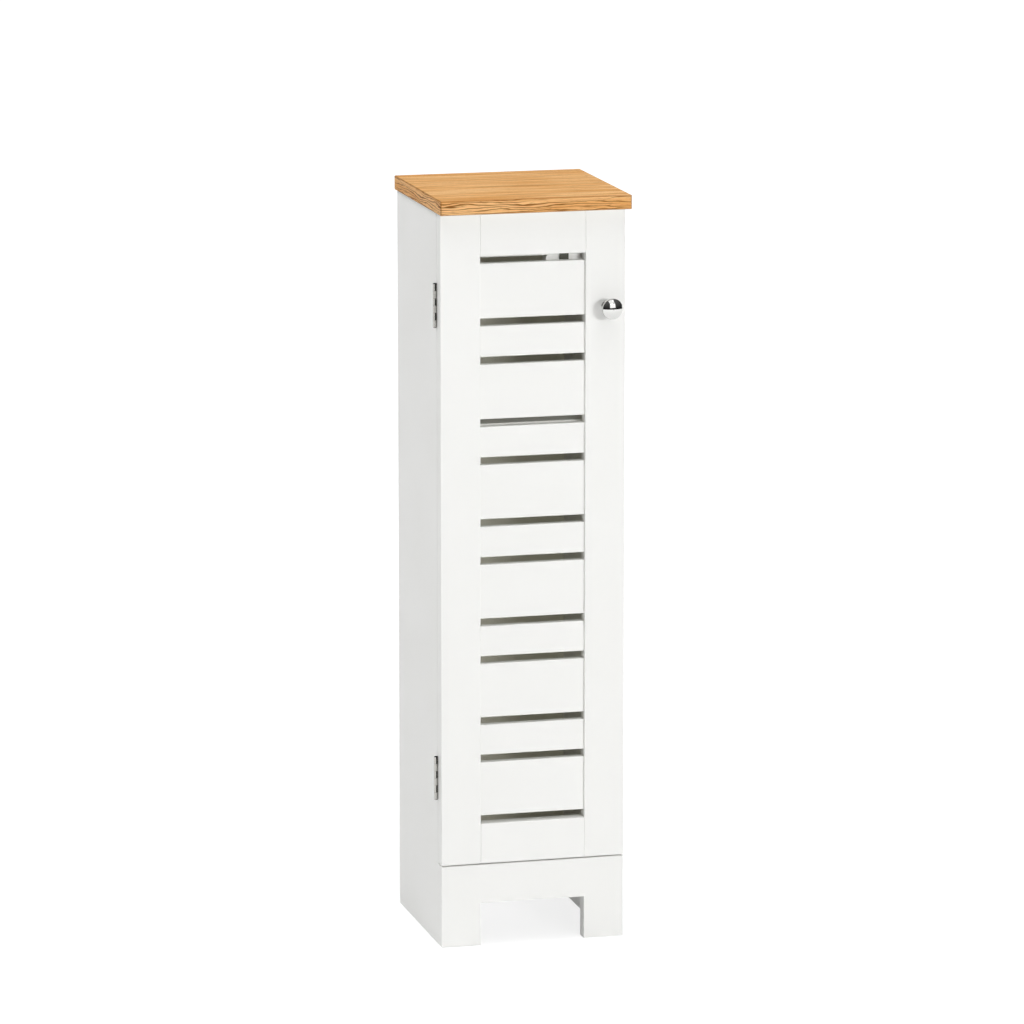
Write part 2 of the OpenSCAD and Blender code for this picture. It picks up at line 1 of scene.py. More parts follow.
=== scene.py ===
"""Slim bathroom cabinet with a louvred door: its finishes, small fittings and studio stage.

The boards, the hinges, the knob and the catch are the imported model's own solids, and get their
finishes here. The small fasteners are made again with their threads, recesses and flutes.
"""

import json
import math
from functools import partial

import bpy
from bpy.props import FloatProperty, FloatVectorProperty, IntProperty, PointerProperty
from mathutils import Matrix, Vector

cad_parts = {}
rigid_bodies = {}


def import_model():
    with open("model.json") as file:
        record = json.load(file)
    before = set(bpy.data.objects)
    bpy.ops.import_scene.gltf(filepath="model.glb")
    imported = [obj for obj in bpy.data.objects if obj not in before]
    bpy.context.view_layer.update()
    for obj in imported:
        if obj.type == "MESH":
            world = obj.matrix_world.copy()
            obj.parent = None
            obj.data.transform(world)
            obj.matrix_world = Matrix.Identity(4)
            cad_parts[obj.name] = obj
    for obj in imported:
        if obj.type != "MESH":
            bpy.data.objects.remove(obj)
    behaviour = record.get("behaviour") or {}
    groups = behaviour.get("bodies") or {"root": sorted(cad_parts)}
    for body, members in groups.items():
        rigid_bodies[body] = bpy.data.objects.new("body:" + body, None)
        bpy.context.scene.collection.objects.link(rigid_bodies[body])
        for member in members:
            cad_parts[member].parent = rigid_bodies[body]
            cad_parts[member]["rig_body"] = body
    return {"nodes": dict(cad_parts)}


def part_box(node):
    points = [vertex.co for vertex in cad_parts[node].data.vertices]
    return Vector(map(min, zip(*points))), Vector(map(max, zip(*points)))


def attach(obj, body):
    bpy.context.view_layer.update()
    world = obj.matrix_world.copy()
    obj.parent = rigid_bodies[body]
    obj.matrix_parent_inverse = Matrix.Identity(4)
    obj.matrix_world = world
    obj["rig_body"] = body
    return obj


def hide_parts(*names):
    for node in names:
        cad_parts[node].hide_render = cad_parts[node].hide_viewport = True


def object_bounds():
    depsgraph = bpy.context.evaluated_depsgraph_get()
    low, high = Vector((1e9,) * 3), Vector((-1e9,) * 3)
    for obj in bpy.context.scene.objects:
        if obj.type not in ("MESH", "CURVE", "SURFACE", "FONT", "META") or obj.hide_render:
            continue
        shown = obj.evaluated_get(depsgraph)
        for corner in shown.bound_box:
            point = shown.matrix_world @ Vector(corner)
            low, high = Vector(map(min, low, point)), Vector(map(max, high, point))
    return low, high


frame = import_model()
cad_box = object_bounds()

bl_info = {
    "name": "Louvred bathroom cabinet",
    "version": (1, 0, 0),
    "blender": (4, 5, 0),
    "location": "View3D > Sidebar > Cabinet",
    "description": "Finishes, small fittings and stage of a slim cabinet with a louvred door",
    "category": "Object",
}

MM_PER_M = 1000
nodes = frame["nodes"]


# ---------- shared helpers ----------


def linear(code):
    """An sRGB hex colour as linear red, green, blue and alpha."""
    channels = [int(code[i : i + 2], 16) / 255 for i in (1, 3, 5)]
    curve = [c / 12.92 if c <= 0.04045 else ((c + 0.055) / 1.055) ** 2.4 for c in channels]
    return (*curve, 1.0)


def per_mm(size):
    """The texture scale whose features are about this many millimetres apart."""
    return MM_PER_M / size


# the kinds of node that most trees use
MATH, VECTOR_MATH, MAP_RANGE = "ShaderNodeMath", "ShaderNodeVectorMath", "ShaderNodeMapRange"
NOISE, BUMP, COORDINATES = "ShaderNodeTexNoise", "ShaderNodeBump", "ShaderNodeTexCoord"
SEPARATE, COMBINE = "ShaderNodeSeparateXYZ", "ShaderNodeCombineXYZ"
# A Mix node's inputs go by number: 0 is the share of the second of the pair that follows, which
# is 2 and 3 for numbers, 4 and 5 for vectors, 6 and 7 for colours.
MIX = "ShaderNodeMix"


def feed(socket, value):
    """Sets a socket's value, or links it to an output, to the first output in use of a node, or
    to each of a list of these."""
    if isinstance(value, list):
        for one in value:
            feed(socket, one)
        return
    if isinstance(value, bpy.types.Node):
        value = next(output for output in value.outputs if output.enabled)
    if isinstance(value, bpy.types.NodeSocket):
        socket.id_data.links.new(value, socket)
    else:
        socket.default_value = value


def add_node(tree, kind, inputs=None, **settings):
    """A new node with its settings, and its inputs as feed() takes them."""
    node = tree.nodes.new(kind)
    for name, value in settings.items():
        setattr(node, name, value)
    for key, value in (inputs or {}).items():
        feed(node.inputs[key], value)
    return node


def adder_to(owner):
    """Empties the node tree of a material or a world, and gives the function that adds to it."""
    owner.use_nodes = True
    owner.node_tree.nodes.clear()
    return partial(add_node, owner.node_tree)


def new_object(name, data):
    """A new object in the scene."""
    item = bpy.data.objects.new(name, data)
    bpy.context.scene.collection.objects.link(item)
    return item


def dress(names, material):
    """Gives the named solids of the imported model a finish."""
    for name in names:
        nodes[name].data.materials[0] = material


# ---------- finishes ----------

# the least part of a normal along an axis for a face to count as facing along it
SQUARE_ON = 0.7


def stretched_noise(add, place, scales, detail=2.0):
    """Noise over a place, with a scale of its own along each axis."""
    stretched = add(VECTOR_MATH, {0: place, 1: scales}, operation="MULTIPLY")
    return add(NOISE, {"Vector": stretched, "Scale": 1.0, "Detail": detail})


def sprayed_satin_acrylic_paint(add, finish):
    """Satin acrylic paint sprayed on fibreboard: near-white with a low even sheen, and a faint
    orange peel that breaks up the highlights."""
    place = add(COORDINATES).outputs["Object"]
    # the coat's thickness drifts over a hand's width
    drift = add(NOISE, {"Vector": place, "Scale": per_mm(90)})
    tone = add(MIX, {0: drift, 6: finish.white_paint, 7: finish.thin_paint}, data_type="RGBA")
    sheen = add(MAP_RANGE, {"Value": drift, "To Min": 0.36, "To Max": 0.5})
    # the real peel is about 1 mm across, drawn at 2 mm so that it shows
    peel = add(NOISE, {"Vector": place, "Scale": per_mm(2), "Detail": 1.0})
    bump = add(BUMP, {"Height": peel, "Strength": 0.12, "Distance": 0.00006})
    return {"Base Color": tone, "Roughness": sheen, "IOR": 1.49, "Normal": bump}


def printed_oak_foil(add, finish):
    """Oak-look foil, printed and satin lacquered, wrapped round a chipboard core: broad soft
    streaks, growth lines and open pores on the upper face, close dark wavy lines along the upright
    edges, a darker band along each arris, and plain backing paper underneath."""
    place = add(COORDINATES).outputs
    at = add(SEPARATE, {"Vector": place["Object"]}).outputs
    turned = add(VECTOR_MATH, {0: place["Normal"]}, operation="ABSOLUTE")
    facing = add(SEPARATE, {"Vector": turned}).outputs
    on_edge = add(MATH, {0: facing["Z"], 1: SQUARE_ON}, operation="LESS_THAN")
    on_side = add(MATH, {0: facing["X"], 1: SQUARE_ON}, operation="GREATER_THAN")
    # the grain runs along X, and along Y on the left and right edges; its third scale in each
    # pattern only sets the edges apart from the faces
    along = add(MIX, {0: on_side, 2: at["X"], 3: at["Y"]})
    across = add(MIX, {0: on_edge, 2: at["Y"], 3: at["Z"]})
    grain = add(COMBINE, {"X": along, "Y": across, "Z": on_edge})

    # growth lines: their spacing, their waves and how far a wave moves them, on a face and an edge
    spacing = add(MIX, {0: on_edge, 2: 0.013, 3: 0.0026})
    wave_size = add(
        MIX,
        {0: on_edge, 4: (per_mm(250), per_mm(40), 1.0), 5: (per_mm(45), per_mm(8), 1.0)},
        data_type="VECTOR",
    )
    wave = stretched_noise(add, grain, wave_size)
    row = add(MATH, {0: across, 1: spacing}, operation="DIVIDE")
    bent = add(MATH, {0: wave, 1: 3.6, 2: row}, operation="MULTIPLY_ADD")
    ring = add(MATH, {0: bent}, operation="FRACT")
    # late wood darkens slowly and ends sharply
    slopes = []
    for foot in (0.4, 1.0):
        span = {"Value": ring, "From Min": foot, "From Max": 0.84}
        slopes.append(add(MAP_RANGE, span, interpolation_type="SMOOTHSTEP"))
    late_wood = add(MATH, {0: slopes[0], 1: slopes[1]}, operation="MULTIPLY")
    # the printed lines fade in and out along the board
    fade = stretched_noise(add, grain, (per_mm(60), per_mm(4), 3.0), 1.0)
    strength = add(MAP_RANGE, {"Value": fade, "From Min": 0.28, "From Max": 0.5})
    contrast = add(MIX, {0: on_edge, 2: 0.3, 3: 1.0})
    line_share = add(MATH, {0: late_wood, 1: strength}, operation="MULTIPLY")
    lines = add(MATH, {0: line_share, 1: contrast}, operation="MULTIPLY")

    # fibres about 1 mm wide and 40 mm long, and pores about 0.5 mm wide and 6 mm long
    fibre = stretched_noise(add, grain, (per_mm(40), per_mm(1.2), 5.0), 3.0)
    pore_place = add(
        VECTOR_MATH, {0: grain, 1: (per_mm(6), per_mm(0.5), 7.0)}, operation="MULTIPLY"
    )
    # each row of pores is moved along by its fibre, so that they don't stand in columns
    pore_row = add(
        VECTOR_MATH,
        {0: fibre.outputs["Color"], 1: (9.0, 0.0, 0.0), 2: pore_place},
        operation="MULTIPLY_ADD",
    )
    pore = add(NOISE, {"Vector": pore_row, "Scale": 1.0, "Detail": 0.0})
    pores = add(MAP_RANGE, {"Value": pore, "From Min": 0.6, "From Max": 0.74, "To Max": 0.5})

    # broad streaks about 14 mm across and 150 mm long, with the fibres in them
    streak = stretched_noise(add, grain, (per_mm(150), per_mm(14), 2.0))
    fibrous = add(MATH, {0: fibre, 1: 0.4, 2: streak}, operation="MULTIPLY_ADD")
    least_tan = add(MATH, {0: on_edge, 1: 0.2}, operation="MULTIPLY")
    tan = add(
        MAP_RANGE, {"Value": fibrous, "From Min": 0.55, "From Max": 0.85, "To Min": least_tan}
    )

    # how far a point is from the nearest arris: the middle one of its depths below three faces
    low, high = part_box("top_board")
    middle, half = (low + high) / 2, (high - low) / 2
    offset = add(VECTOR_MATH, {0: place["Object"], 1: middle}, operation="SUBTRACT")
    aside = add(VECTOR_MATH, {0: offset}, operation="ABSOLUTE")
    inset = add(VECTOR_MATH, {0: half, 1: aside}, operation="SUBTRACT")
    below = add(SEPARATE, {"Vector": inset}).outputs
    lesser = add(MATH, {0: below["X"], 1: below["Y"]}, operation="MINIMUM")
    greater = add(MATH, {0: below["X"], 1: below["Y"]}, operation="MAXIMUM")
    upper = add(MATH, {0: greater, 1: below["Z"]}, operation="MINIMUM")
    to_arris = add(MATH, {0: lesser, 1: upper}, operation="MAXIMUM")
    # the foil is darker in a band along each arris, fading out within 1.6 mm of it
    darker_at_arris = add(
        MAP_RANGE,
        {"Value": to_arris, "From Min": 0.0006, "From Max": 0.0016, "To Min": 0.6, "To Max": 0.0},
    )
    sense = add(SEPARATE, {"Vector": place["Normal"]}).outputs
    underneath = add(MATH, {0: sense["Z"], 1: -SQUARE_ON}, operation="LESS_THAN")

    # each colour lies over those before it
    shown = finish.oak_light
    layers = [(tan, finish.oak_tan)]
    layers += [(share, finish.oak_line) for share in (lines, pores, darker_at_arris)]
    layers += [(underneath, finish.backing_paper)]
    for share, layer in layers:
        shown = add(MIX, {0: share, 6: shown, 7: layer}, data_type="RGBA")
    dip = add(MATH, {0: lines, 1: pores}, operation="ADD")
    bump = add(BUMP, {"Height": dip, "Strength": 0.25, "Distance": 0.0001}, invert=True)
    return {"Base Color": shown, "Roughness": 0.5, "Specular IOR Level": 0.05, "Normal": bump}


def white_faced_hardboard(add, finish):
    """Hardboard with one white-lacquered face: white and smooth inside the cabinet, bare brown
    pressed fibres on the rear face and the edges."""
    place = add(COORDINATES).outputs
    facing = add(SEPARATE, {"Vector": place["Normal"]}).outputs
    # bare wherever it doesn't face the front
    bare = add(MATH, {0: facing["Y"], 1: -0.5}, operation="GREATER_THAN")
    # fibres about 1.5 mm long
    fibre = add(
        NOISE, {"Vector": place["Object"], "Scale": per_mm(1.5), "Detail": 4.0, "Distortion": 1.5}
    )
    brown = add(
        MIX, {0: fibre, 6: finish.hardboard_dark, 7: finish.hardboard_light}, data_type="RGBA"
    )
    shown = add(MIX, {0: bare, 6: finish.back_face, 7: brown}, data_type="RGBA")
    dull = add(MAP_RANGE, {"Value": bare, "To Min": 0.38, "To Max": 0.8})
    bump = add(BUMP, {"Height": fibre, "Strength": bare, "Distance": 0.00012})
    return {"Base Color": shown, "Roughness": dull, "Normal": bump}


def turned_beech(add, finish):
    """Beech, turned into dowels: pale pinkish tan with short darker ray flecks along the dowel."""
    # the dowels lie three ways, so their grain follows the place stored on each dowel, in mm
    place = add("ShaderNodeAttribute", attribute_name="along_dowel")
    fleck = stretched_noise(add, place.outputs["Vector"], (1 / 0.6, 1 / 0.6, 1 / 3))
    flecks = add(MAP_RANGE, {"Value": fleck, "From Min": 0.45, "From Max": 0.7})
    shown = add(MIX, {0: flecks, 6: finish.beech_light, 7: finish.beech_fleck}, data_type="RGBA")
    return {"Base Color": shown, "Roughness": 0.62}


def buffed_chromium_plate(add, finish):
    """Chromium plate on die-cast zinc, buffed: a mirror with the faintest wipe marks."""
    place = add(COORDINATES).outputs["Object"]
    wipe = add(NOISE, {"Vector": place, "Scale": per_mm(6), "Detail": 3.0, "Distortion": 1.0})
    haze = add(MAP_RANGE, {"Value": wipe, "To Min": 0.02, "To Max": 0.07})
    return {"Base Color": finish.chrome, "Metallic": 1.0, "Roughness": haze}


def bright_nickel_plate(add, finish):
    """Nickel plate on rolled steel strip: bright, with rolling lines that run up the leaf."""
    place = add(COORDINATES).outputs["Object"]
    rolling = stretched_noise(add, place, (per_mm(0.3), per_mm(0.3), per_mm(9)))
    haze = add(MAP_RANGE, {"Value": rolling, "To Min": 0.12, "To Max": 0.3})
    bump = add(BUMP, {"Height": rolling, "Strength": 0.15, "Distance": 0.00002})
    return {"Base Color": finish.nickel, "Metallic": 1.0, "Roughness": haze, "Normal": bump}


def shade_dark_pin_steel(add, finish):
    """Drawn steel pin, near-black and nearly matt: painted shade for the dark open mouths of the
    hinge knuckles.
    """
    place = add(COORDINATES).outputs["Object"]
    film = add(NOISE, {"Vector": place, "Scale": per_mm(1.5)})
    haze = add(MAP_RANGE, {"Value": film, "To Min": 0.5, "To Max": 0.65})
    return {"Base Color": finish.pin_shade_dark, "Roughness": haze, "Specular IOR Level": 0.04}


def phosphated_steel(add, finish):
    """Pressed steel strip, zinc phosphated: dark olive grey and matt, with a fine grain."""
    place = add(COORDINATES).outputs["Object"]
    # the crystals are about 0.02 mm, drawn at 0.4 mm so that they show
    crystal = add(NOISE, {"Vector": place, "Scale": per_mm(0.4)})
    shade = add(MAP_RANGE, {"Value": crystal, "To Min": 0.8, "To Max": 1.2})
    grey = add(VECTOR_MATH, {0: finish.phosphate[:3], "Scale": shade}, operation="SCALE")
    return {"Base Color": grey, "Roughness": 0.6}


def passivated_zinc_plate(add, finish):
    """Zinc plate on steel: grey and half bright, with faint blue and straw clouds."""
    place = add(COORDINATES).outputs["Object"]
    cloud = add(NOISE, {"Vector": place, "Scale": per_mm(5)})
    tint = add(MIX, {0: cloud, 6: finish.zinc_blue, 7: finish.zinc_straw}, data_type="RGBA")
    haze = add(MAP_RANGE, {"Value": cloud, "To Min": 0.28, "To Max": 0.45})
    return {"Base Color": tint, "Metallic": 1.0, "Roughness": haze}


def die_cast_zinc(add, finish):
    """Raw die-cast zinc: dull grey with the fine grain of the mould."""
    place = add(COORDINATES).outputs["Object"]
    grain = add(NOISE, {"Vector": place, "Scale": per_mm(0.5)})
    bump = add(BUMP, {"Height": grain, "Strength": 0.5, "Distance": 0.00004})
    return {"Base Color": finish.cast_zinc, "Metallic": 1.0, "Roughness": 0.5, "Normal": bump}


def moulded_white_abs(add, finish):
    """White ABS, injection moulded: a smooth waxy gloss with a faint mould texture."""
    place = add(COORDINATES).outputs["Object"]
    texture = add(NOISE, {"Vector": place, "Scale": per_mm(0.8), "Detail": 1.0})
    haze = add(MAP_RANGE, {"Value": texture, "To Min": 0.24, "To Max": 0.36})
    return {"Base Color": finish.white_abs, "Roughness": haze, "IOR": 1.54}


def sintered_ferrite(add, finish):
    """Sintered ferrite: near-black and matt, with a gritty ground face."""
    place = add(COORDINATES).outputs["Object"]
    grit = add(NOISE, {"Vector": place, "Scale": per_mm(0.4), "Detail": 3.0})
    shown = add(MIX, {0: grit, 6: finish.ferrite_dark, 7: finish.ferrite_light}, data_type="RGBA")
    return {"Base Color": shown, "Roughness": 0.75}


def finish_of(maker):
    """The material that a finish function describes, made at its first use and named for it. The
    function gives the inputs of the surface."""
    name = maker.__name__.replace("_", " ").capitalize()
    if name not in bpy.data.materials:
        add = adder_to(bpy.data.materials.new(name))
        shader = add("ShaderNodeBsdfPrincipled", maker(add, bpy.context.scene.cabinet_finish))
        add("ShaderNodeOutputMaterial", {"Surface": shader})
    return bpy.data.materials[name]


# ---------- fasteners ----------

# edges that turn by more than this stay sharp
SHARP_EDGE = math.radians(32)
DOWEL_LENGTH, DOWEL_RADIUS = 29.0, 4.0


def solids_in(name):
    """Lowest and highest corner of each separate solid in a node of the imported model."""
    mesh = nodes[name].data
    corners = [tuple(round(c, 6) for c in vertex.co) for vertex in mesh.vertices]
    group = {corner: corner for corner in corners}

    def head(corner):
        while group[corner] != corner:
            corner = group[corner]
        return corner

    for face in mesh.polygons:
        heads = sorted({head(corners[i]) for i in face.vertices})
        for other in heads[1:]:
            group[other] = heads[0]
    solids = {}
    for corner in group:
        solids.setdefault(head(corner), []).append(corner)
    boxes = []
    for points in solids.values():
        boxes.append((Vector(map(min, zip(*points))), Vector(map(max, zip(*points)))))
    return sorted(boxes, key=lambda box: tuple(box[0]))


def places_mesh(name, direction):
    """A mesh with one point for each solid of a node, where it starts, and the way it points.

    direction is a vector, or a function that gives it from the solid's middle and longest axis.
    """
    points, ways = [], []
    for low, high in solids_in(name):
        size, middle = high - low, (low + high) / 2
        if callable(direction):
            axis = max(range(3), key=lambda i: size[i])
            way = Vector(direction(middle, axis))
        else:
            way = Vector(direction)
        half = Vector(size[i] * way[i] for i in range(3)) / 2
        points.append(middle - half)
        ways.append(way)
    mesh = bpy.data.meshes.new(name + "_places")
    mesh.from_pydata(points, [], [])
    attribute = mesh.attributes.new("way", "FLOAT_VECTOR", "POINT")
    attribute.data.foreach_set("vector", [c for way in ways for c in way])
    return mesh


def inward(middle, axis):
    """Into the cabinet along an axis: to its middle along X, to the rear along Y, down along Z."""
    if axis == 0:
        return (-math.copysign(1, middle.x), 0, 0)
    return (0, 1, 0) if axis == 1 else (0, 0, -1)


def outward(middle, axis):
    """The other way from inward."""
    return [-c for c in inward(middle, axis)]


def station_sizes(stations):
    """A named height and radius for each station of a turned profile."""
    sizes = {}
    for station, (height, radius) in stations.items():
        sizes[station + " height"], sizes[station + " radius"] = height, radius
    return sizes


def new_tree(name, stations, sizes):
    """A geometry tree that takes places, a finish, and its sizes in mm: the stations of its
    profile from the start of the piece, and others. Gives what adds a node to it, and its inputs.
    """
    tree = bpy.data.node_groups.new(name, "GeometryNodeTree")
    tree.interface.new_socket("Places", in_out="INPUT", socket_type="NodeSocketGeometry")
    for label, value in {**station_sizes(stations), **sizes}.items():
        kind = "NodeSocketInt" if isinstance(value, int) else "NodeSocketFloat"
        socket = tree.interface.new_socket(label, in_out="INPUT", socket_type=kind)
        socket.default_value = value
    tree.interface.new_socket("Finish", in_out="INPUT", socket_type="NodeSocketMaterial")
    tree.interface.new_socket("Pieces", in_out="OUTPUT", socket_type="NodeSocketGeometry")
    return partial(add_node, tree), add_node(tree, "NodeGroupInput").outputs


def add_turned(add, inputs, stations, outline):
    """A solid turned along +Z through the stations of a profile, of which two 0.01 mm apart make
    a step. outline is what is turned, a curve of radius 1 or the number of its sides."""
    if isinstance(outline, int):
        outline = add("GeometryNodeCurvePrimitiveCircle", {"Resolution": outline})
    # a line of as many points as there are stations is moved and widened to them
    index = add("GeometryNodeInputIndex")
    switches = []
    for measure in (" height", " radius"):
        switch = add("GeometryNodeIndexSwitch", {"Index": index}, data_type="FLOAT")
        while len(switch.index_switch_items) < len(stations):
            switch.index_switch_items.new()
        for number, station in enumerate(stations, 1):
            feed(switch.inputs[number], inputs[station + measure])
        switches.append(switch)
    line = add("GeometryNodeCurvePrimitiveLine", {"End": (0, 0, 1)})
    rings = add("GeometryNodeResampleCurve", {"Curve": line, "Count": len(stations)})
    height = add(COMBINE, {"Z": switches[0]})
    stacked = add("GeometryNodeSetPosition", {"Geometry": rings, "Position": height})
    return add(
        "GeometryNodeCurveToMesh",
        {"Curve": stacked, "Profile Curve": outline, "Scale": switches[1], "Fill Caps": True},
    )


def add_thread(add, inputs, core):
    """A helical ridge round a shank whose radius is core."""
    length, depth = inputs["Thread length"], inputs["Thread depth"]
    turns = add(MATH, {0: length, 1: inputs["Thread pitch"]}, operation="DIVIDE")
    size = {"Rotations": turns, "Start Radius": core, "End Radius": core, "Height": length}
    helix = add("GeometryNodeCurveSpiral", {"Resolution": 16, **size})
    diamond = add("GeometryNodeCurvePrimitiveCircle", {"Resolution": 4, "Radius": depth})
    ridge = add(
        "GeometryNodeCurveToMesh", {"Curve": helix, "Profile Curve": diamond, "Fill Caps": True}
    )
    lift = add(COMBINE, {"Z": inputs["Thread start"]})
    return add("GeometryNodeTransform", {"Geometry": ridge, "Translation": lift})


def add_cross_cut(add, inputs, solid):
    """The solid with a cross recess for a driver in its start face."""
    across, width = inputs["Recess across"], inputs["Recess width"]
    # the cutters stand half above the face
    tall = add(MATH, {0: inputs["Recess depth"], 1: 2.0}, operation="MULTIPLY")
    cutters = []
    for x, y in ((across, width), (width, across)):
        extent = add(COMBINE, {"X": x, "Y": y, "Z": tall})
        cutters.append(add("GeometryNodeMeshCube", {"Size": extent}))
    return add(
        "GeometryNodeMeshBoolean",
        {"Mesh 1": solid, "Mesh 2": cutters},
        operation="DIFFERENCE",
        solver="EXACT",
    )


def finish_tree(add, inputs, parts):
    """Joins a template in mm, sets one copy on each place, makes the copies real and gives the
    whole tree."""
    joined = add("GeometryNodeJoinGeometry", {"Geometry": parts})
    to_metres = (1 / MM_PER_M,) * 3
    scaled = add("GeometryNodeTransform", {"Geometry": joined, "Scale": to_metres})
    way = add("GeometryNodeInputNamedAttribute", {"Name": "way"}, data_type="FLOAT_VECTOR")
    turn = add("FunctionNodeAlignRotationToVector", {"Vector": way}, axis="Z")
    copies = add(
        "GeometryNodeInstanceOnPoints",
        {"Points": inputs["Places"], "Instance": scaled, "Rotation": turn},
    )
    real = add("GeometryNodeRealizeInstances", {"Geometry": copies})
    smooth = add("GeometryNodeSetShadeSmooth", {"Geometry": real})
    angle = add("GeometryNodeInputMeshEdgeAngle")
    sharp = add("FunctionNodeCompare", {0: angle, 1: SHARP_EDGE}, operation="GREATER_THAN")
    creased = add(
        "GeometryNodeSetShadeSmooth",
        {"Geometry": smooth, "Selection": sharp, "Shade Smooth": False},
        domain="EDGE",
    )
    coated = add("GeometryNodeSetMaterial", {"Geometry": creased, "Material": inputs["Finish"]})
    return add("NodeGroupOutput", {"Pieces": coated}).id_data


def fastener_tree(name, stations, sides, sizes=None, core=None):
    """Turned pieces with a number of sides. If core names the input that holds the radius of
    their core, they get a thread round it and a cross recess."""
    add, inputs = new_tree(name, stations, sizes or {})
    solid = add_turned(add, inputs, stations, sides)
    if not core:
        return finish_tree(add, inputs, [solid])
    cut = add_cross_cut(add, inputs, solid)
    return finish_tree(add, inputs, [cut, add_thread(add, inputs, inputs[core])])


def screw_tree():
    """Screws: a crowned or countersunk head with a cross recess, a threaded shank and a tip."""
    known = bpy.data.node_groups.get("Screws")
    if known:
        return known
    stations = {
        "Crown": (0.0, 2.2), "Head rim": (0.1, 2.3), "Head back": (0.8, 1.0), "Shank": (0.81, 0.9),
        "Tip start": (8.0, 0.9), "Tip": (10.0, 0.1),
    }
    sizes = {
        "Thread start": 1.35, "Thread length": 6.65, "Thread depth": 0.3, "Thread pitch": 1.1,
        "Recess across": 2.6, "Recess width": 0.6, "Recess depth": 0.5,
    }
    return fastener_tree("Screws", stations, sides=40, sizes=sizes, core="Shank radius")


def nail_tree():
    """Nails: a domed head, a plain shank and a cut point."""
    stations = {
        "Crown": (0.0, 0.63), "Inner dome": (0.12, 1.26), "Outer dome": (0.33, 1.656),
        "Head rim": (0.6, 1.8), "Shank": (0.61, 0.6), "Point start": (12.0, 0.6),
        "Point": (13.6, 0.06),
    }
    return fastener_tree("Nails", stations, sides=28)


def dowel_stations(chamfer):
    """The profile of a dowel with a steep chamfer at both ends."""
    end_radius = DOWEL_RADIUS - 0.6 * chamfer
    return {
        "Start": (0.0, end_radius),
        "Start shoulder": (chamfer, DOWEL_RADIUS),
        "End shoulder": (DOWEL_LENGTH - chamfer, DOWEL_RADIUS),
        "End": (DOWEL_LENGTH, end_radius),
    }


def dowel_tree():
    """Dowels: chamfered ends and pressed flutes, with the place along each dowel kept in mm."""
    stations = dowel_stations(1.2)
    add, inputs = new_tree("Fluted dowels", stations, {"Flutes": 18, "Flute share": 0.06})
    # four points for each flute, and the first of them drawn in
    points = add(MATH, {0: inputs["Flutes"], 1: 4.0}, operation="MULTIPLY")
    circle = add("GeometryNodeCurvePrimitiveCircle", {"Resolution": points})
    index = add("GeometryNodeInputIndex")
    step = add(MATH, {0: index, 1: 4.0}, operation="MODULO")
    groove = add(MATH, {0: step, 1: 0.5}, operation="LESS_THAN")
    depth = add(MATH, {0: groove, 1: inputs["Flute share"]}, operation="MULTIPLY")
    reach = add(MATH, {0: 1.0, 1: depth}, operation="SUBTRACT")
    position = add("GeometryNodeInputPosition")
    drawn_in = add(VECTOR_MATH, {0: position, "Scale": reach}, operation="SCALE")
    fluted = add("GeometryNodeSetPosition", {"Geometry": circle, "Position": drawn_in})
    solid = add_turned(add, inputs, stations, fluted)
    kept = add(
        "GeometryNodeStoreNamedAttribute",
        {"Geometry": solid, "Name": "along_dowel", "Value": position},
        data_type="FLOAT_VECTOR",
    )
    return finish_tree(add, inputs, [kept])


def cam_bolt_tree():
    """Cam bolts, from the head: a round head for the cam, a slim shank with a collar, and a coarse
    wood thread."""
    stations = {
        "Crown": (0.0, 2.3), "Head start": (0.5, 2.8), "Head end": (3.5, 2.8),
        "Neck start": (4.0, 1.5), "Neck end": (7.0, 1.5), "Shank start": (8.0, 2.0),
        "Shank end": (26.0, 2.0), "Core": (26.01, 2.4), "Tip start": (33.5, 2.4),
        "Tip": (35.0, 1.5),
    }
    sizes = {
        "Thread start": 26.9, "Thread length": 6.9, "Thread depth": 0.8, "Thread pitch": 2.2,
        "Recess across": 2.6, "Recess width": 0.7, "Recess depth": 1.6,
    }
    return fastener_tree("Cam bolts", stations, sides=36, sizes=sizes, core="Core radius")


def shelf_pin_tree():
    """Shelf pins: chamfered at both ends, with a collar that stops at the panel."""
    stations = {
        "Start": (0.0, 2.0), "Start shoulder": (0.5, 2.5), "Collar foot": (6.8, 2.5),
        "Collar face": (6.81, 3.75), "Collar rim": (7.05, 4.0), "Collar back": (7.98, 4.0),
        "Pin": (7.99, 2.5), "End shoulder": (15.5, 2.5), "End": (16.0, 2.0),
    }
    return fastener_tree("Shelf pins", stations, sides=40)


def make_fasteners(piece_name, node, tree, direction, sizes, material):
    """Sets a tree's pieces where a node's solids are; the result stands for the node."""
    piece = new_object(piece_name, places_mesh(node, direction))
    modifier = piece.modifiers.new(tree.name, "NODES")
    modifier.node_group = tree
    values = {**sizes, "Finish": material}
    for item in tree.interface.items_tree:
        if item.in_out == "INPUT" and item.name in values:
            modifier[item.identifier] = values[item.name]
    graph = bpy.context.evaluated_depsgraph_get()
    mesh = bpy.data.meshes.new_from_object(piece.evaluated_get(graph), depsgraph=graph)
    piece.modifiers.remove(modifier)
    # the tree's finish is the last slot; the first is empty
    while len(mesh.materials) > 1:
        mesh.materials.pop(index=0)
    piece.data = mesh
    mesh.name = piece_name
    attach(piece, nodes[node]["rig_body"])
    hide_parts(node)


# ---------- settings ----------


def colour(label, text, code):
    """A setting that holds a colour."""
    shown = {"name": label, "description": text, "subtype": "COLOR"}
    return FloatVectorProperty(**shown, default=linear(code), size=4, min=0.0, max=1.0)


def number(label, text, default, **more):
    """A setting that holds a number, a whole one if its default is whole."""
    kind = IntProperty if isinstance(default, int) else FloatProperty
    return kind(name=label, description=text, default=default, **more)


def metres(label, text, default):
    """A setting that holds a length in metres."""
    return number(label, text, default, unit="LENGTH")


